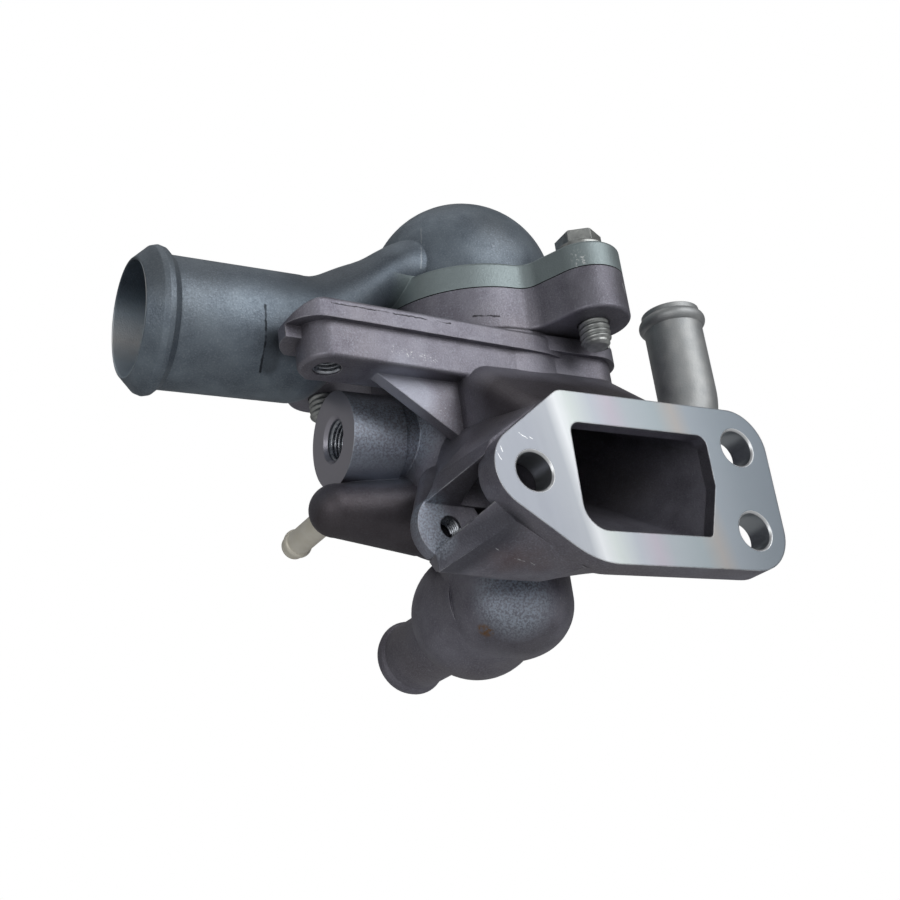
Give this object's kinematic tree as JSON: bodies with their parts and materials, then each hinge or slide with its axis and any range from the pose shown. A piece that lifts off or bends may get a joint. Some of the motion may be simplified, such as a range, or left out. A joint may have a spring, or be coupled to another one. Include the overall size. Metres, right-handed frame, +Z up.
{
  "type": "thermostat housing",
  "caption": "Cast coolant housing with a machined inlet flange, a domed hose cover, a heater pipe and a wax regulator that opens on its axis.",
  "frame": {"origin": "middle of the inlet port, on the machined face of the inlet flange", "axes": "+X along the flange away from the hose spigot, +Y from the flange into the housing, +Z up along the regulator axis"},
  "size_m": [0.1543, 0.104, 0.1292],
  "materials": {
    "cast_body": "as cast, satin, with a machined flange face",
    "cast_cover": "as cast, satin",
    "bolt_steel": "zinc plated, dulled",
    "heater_tube": "satin",
    "return_tube": "yellowed zinc",
    "seal_rubber": "matte",
    "pressed_steel": "pressed, satin",
    "vent_brass": "turned",
    "pin_steel": "ground",
    "capsule_brass": "turned",
    "spring_steel": "drawn wire"
  },
  "bodies": {
    "housing": {"housing_body": "cast_body", "outlet_cover": "cast_cover", "cover_bolts": "bolt_steel", "heater_pipe": "heater_tube", "return_pipe": "return_tube", "seal_ring": "seal_rubber", "seat_plate": "pressed_steel", "upper_bridge": "pressed_steel", "lower_stirrup": "pressed_steel", "piston_pin": "pin_steel", "main_spring": "spring_steel"},
    "valve": {"wax_capsule": "capsule_brass", "valve_plate": "pressed_steel", "lock_ring": "pin_steel", "retainer_clip": "pin_steel", "bypass_spring": "spring_steel"},
    "bypass_valve": {"bypass_disc": "pressed_steel"},
    "vent_pin": {"jiggle_pin": "vent_brass"}
  },
  "joints": [
    {"name": "valve_slide", "type": "slide", "parent": "housing", "child": "valve", "axis": [0, 0, 1], "range_m": [-0.009, 0], "stiffness_N_per_m": 3000, "springref_m": 0.01, "deforming": ["main_spring"]},
    {"name": "bypass_slide", "type": "slide", "parent": "valve", "child": "bypass_valve", "axis": [0, 0, 1], "range_m": [0, 0.0025], "stiffness_N_per_m": 400, "springref_m": -0.005, "deforming": ["bypass_spring"]},
    {"name": "vent_pin_slide", "type": "slide", "parent": "housing", "child": "vent_pin", "axis": [0, 0, 1], "range_m": [0, 0.0008]}
  ]
}
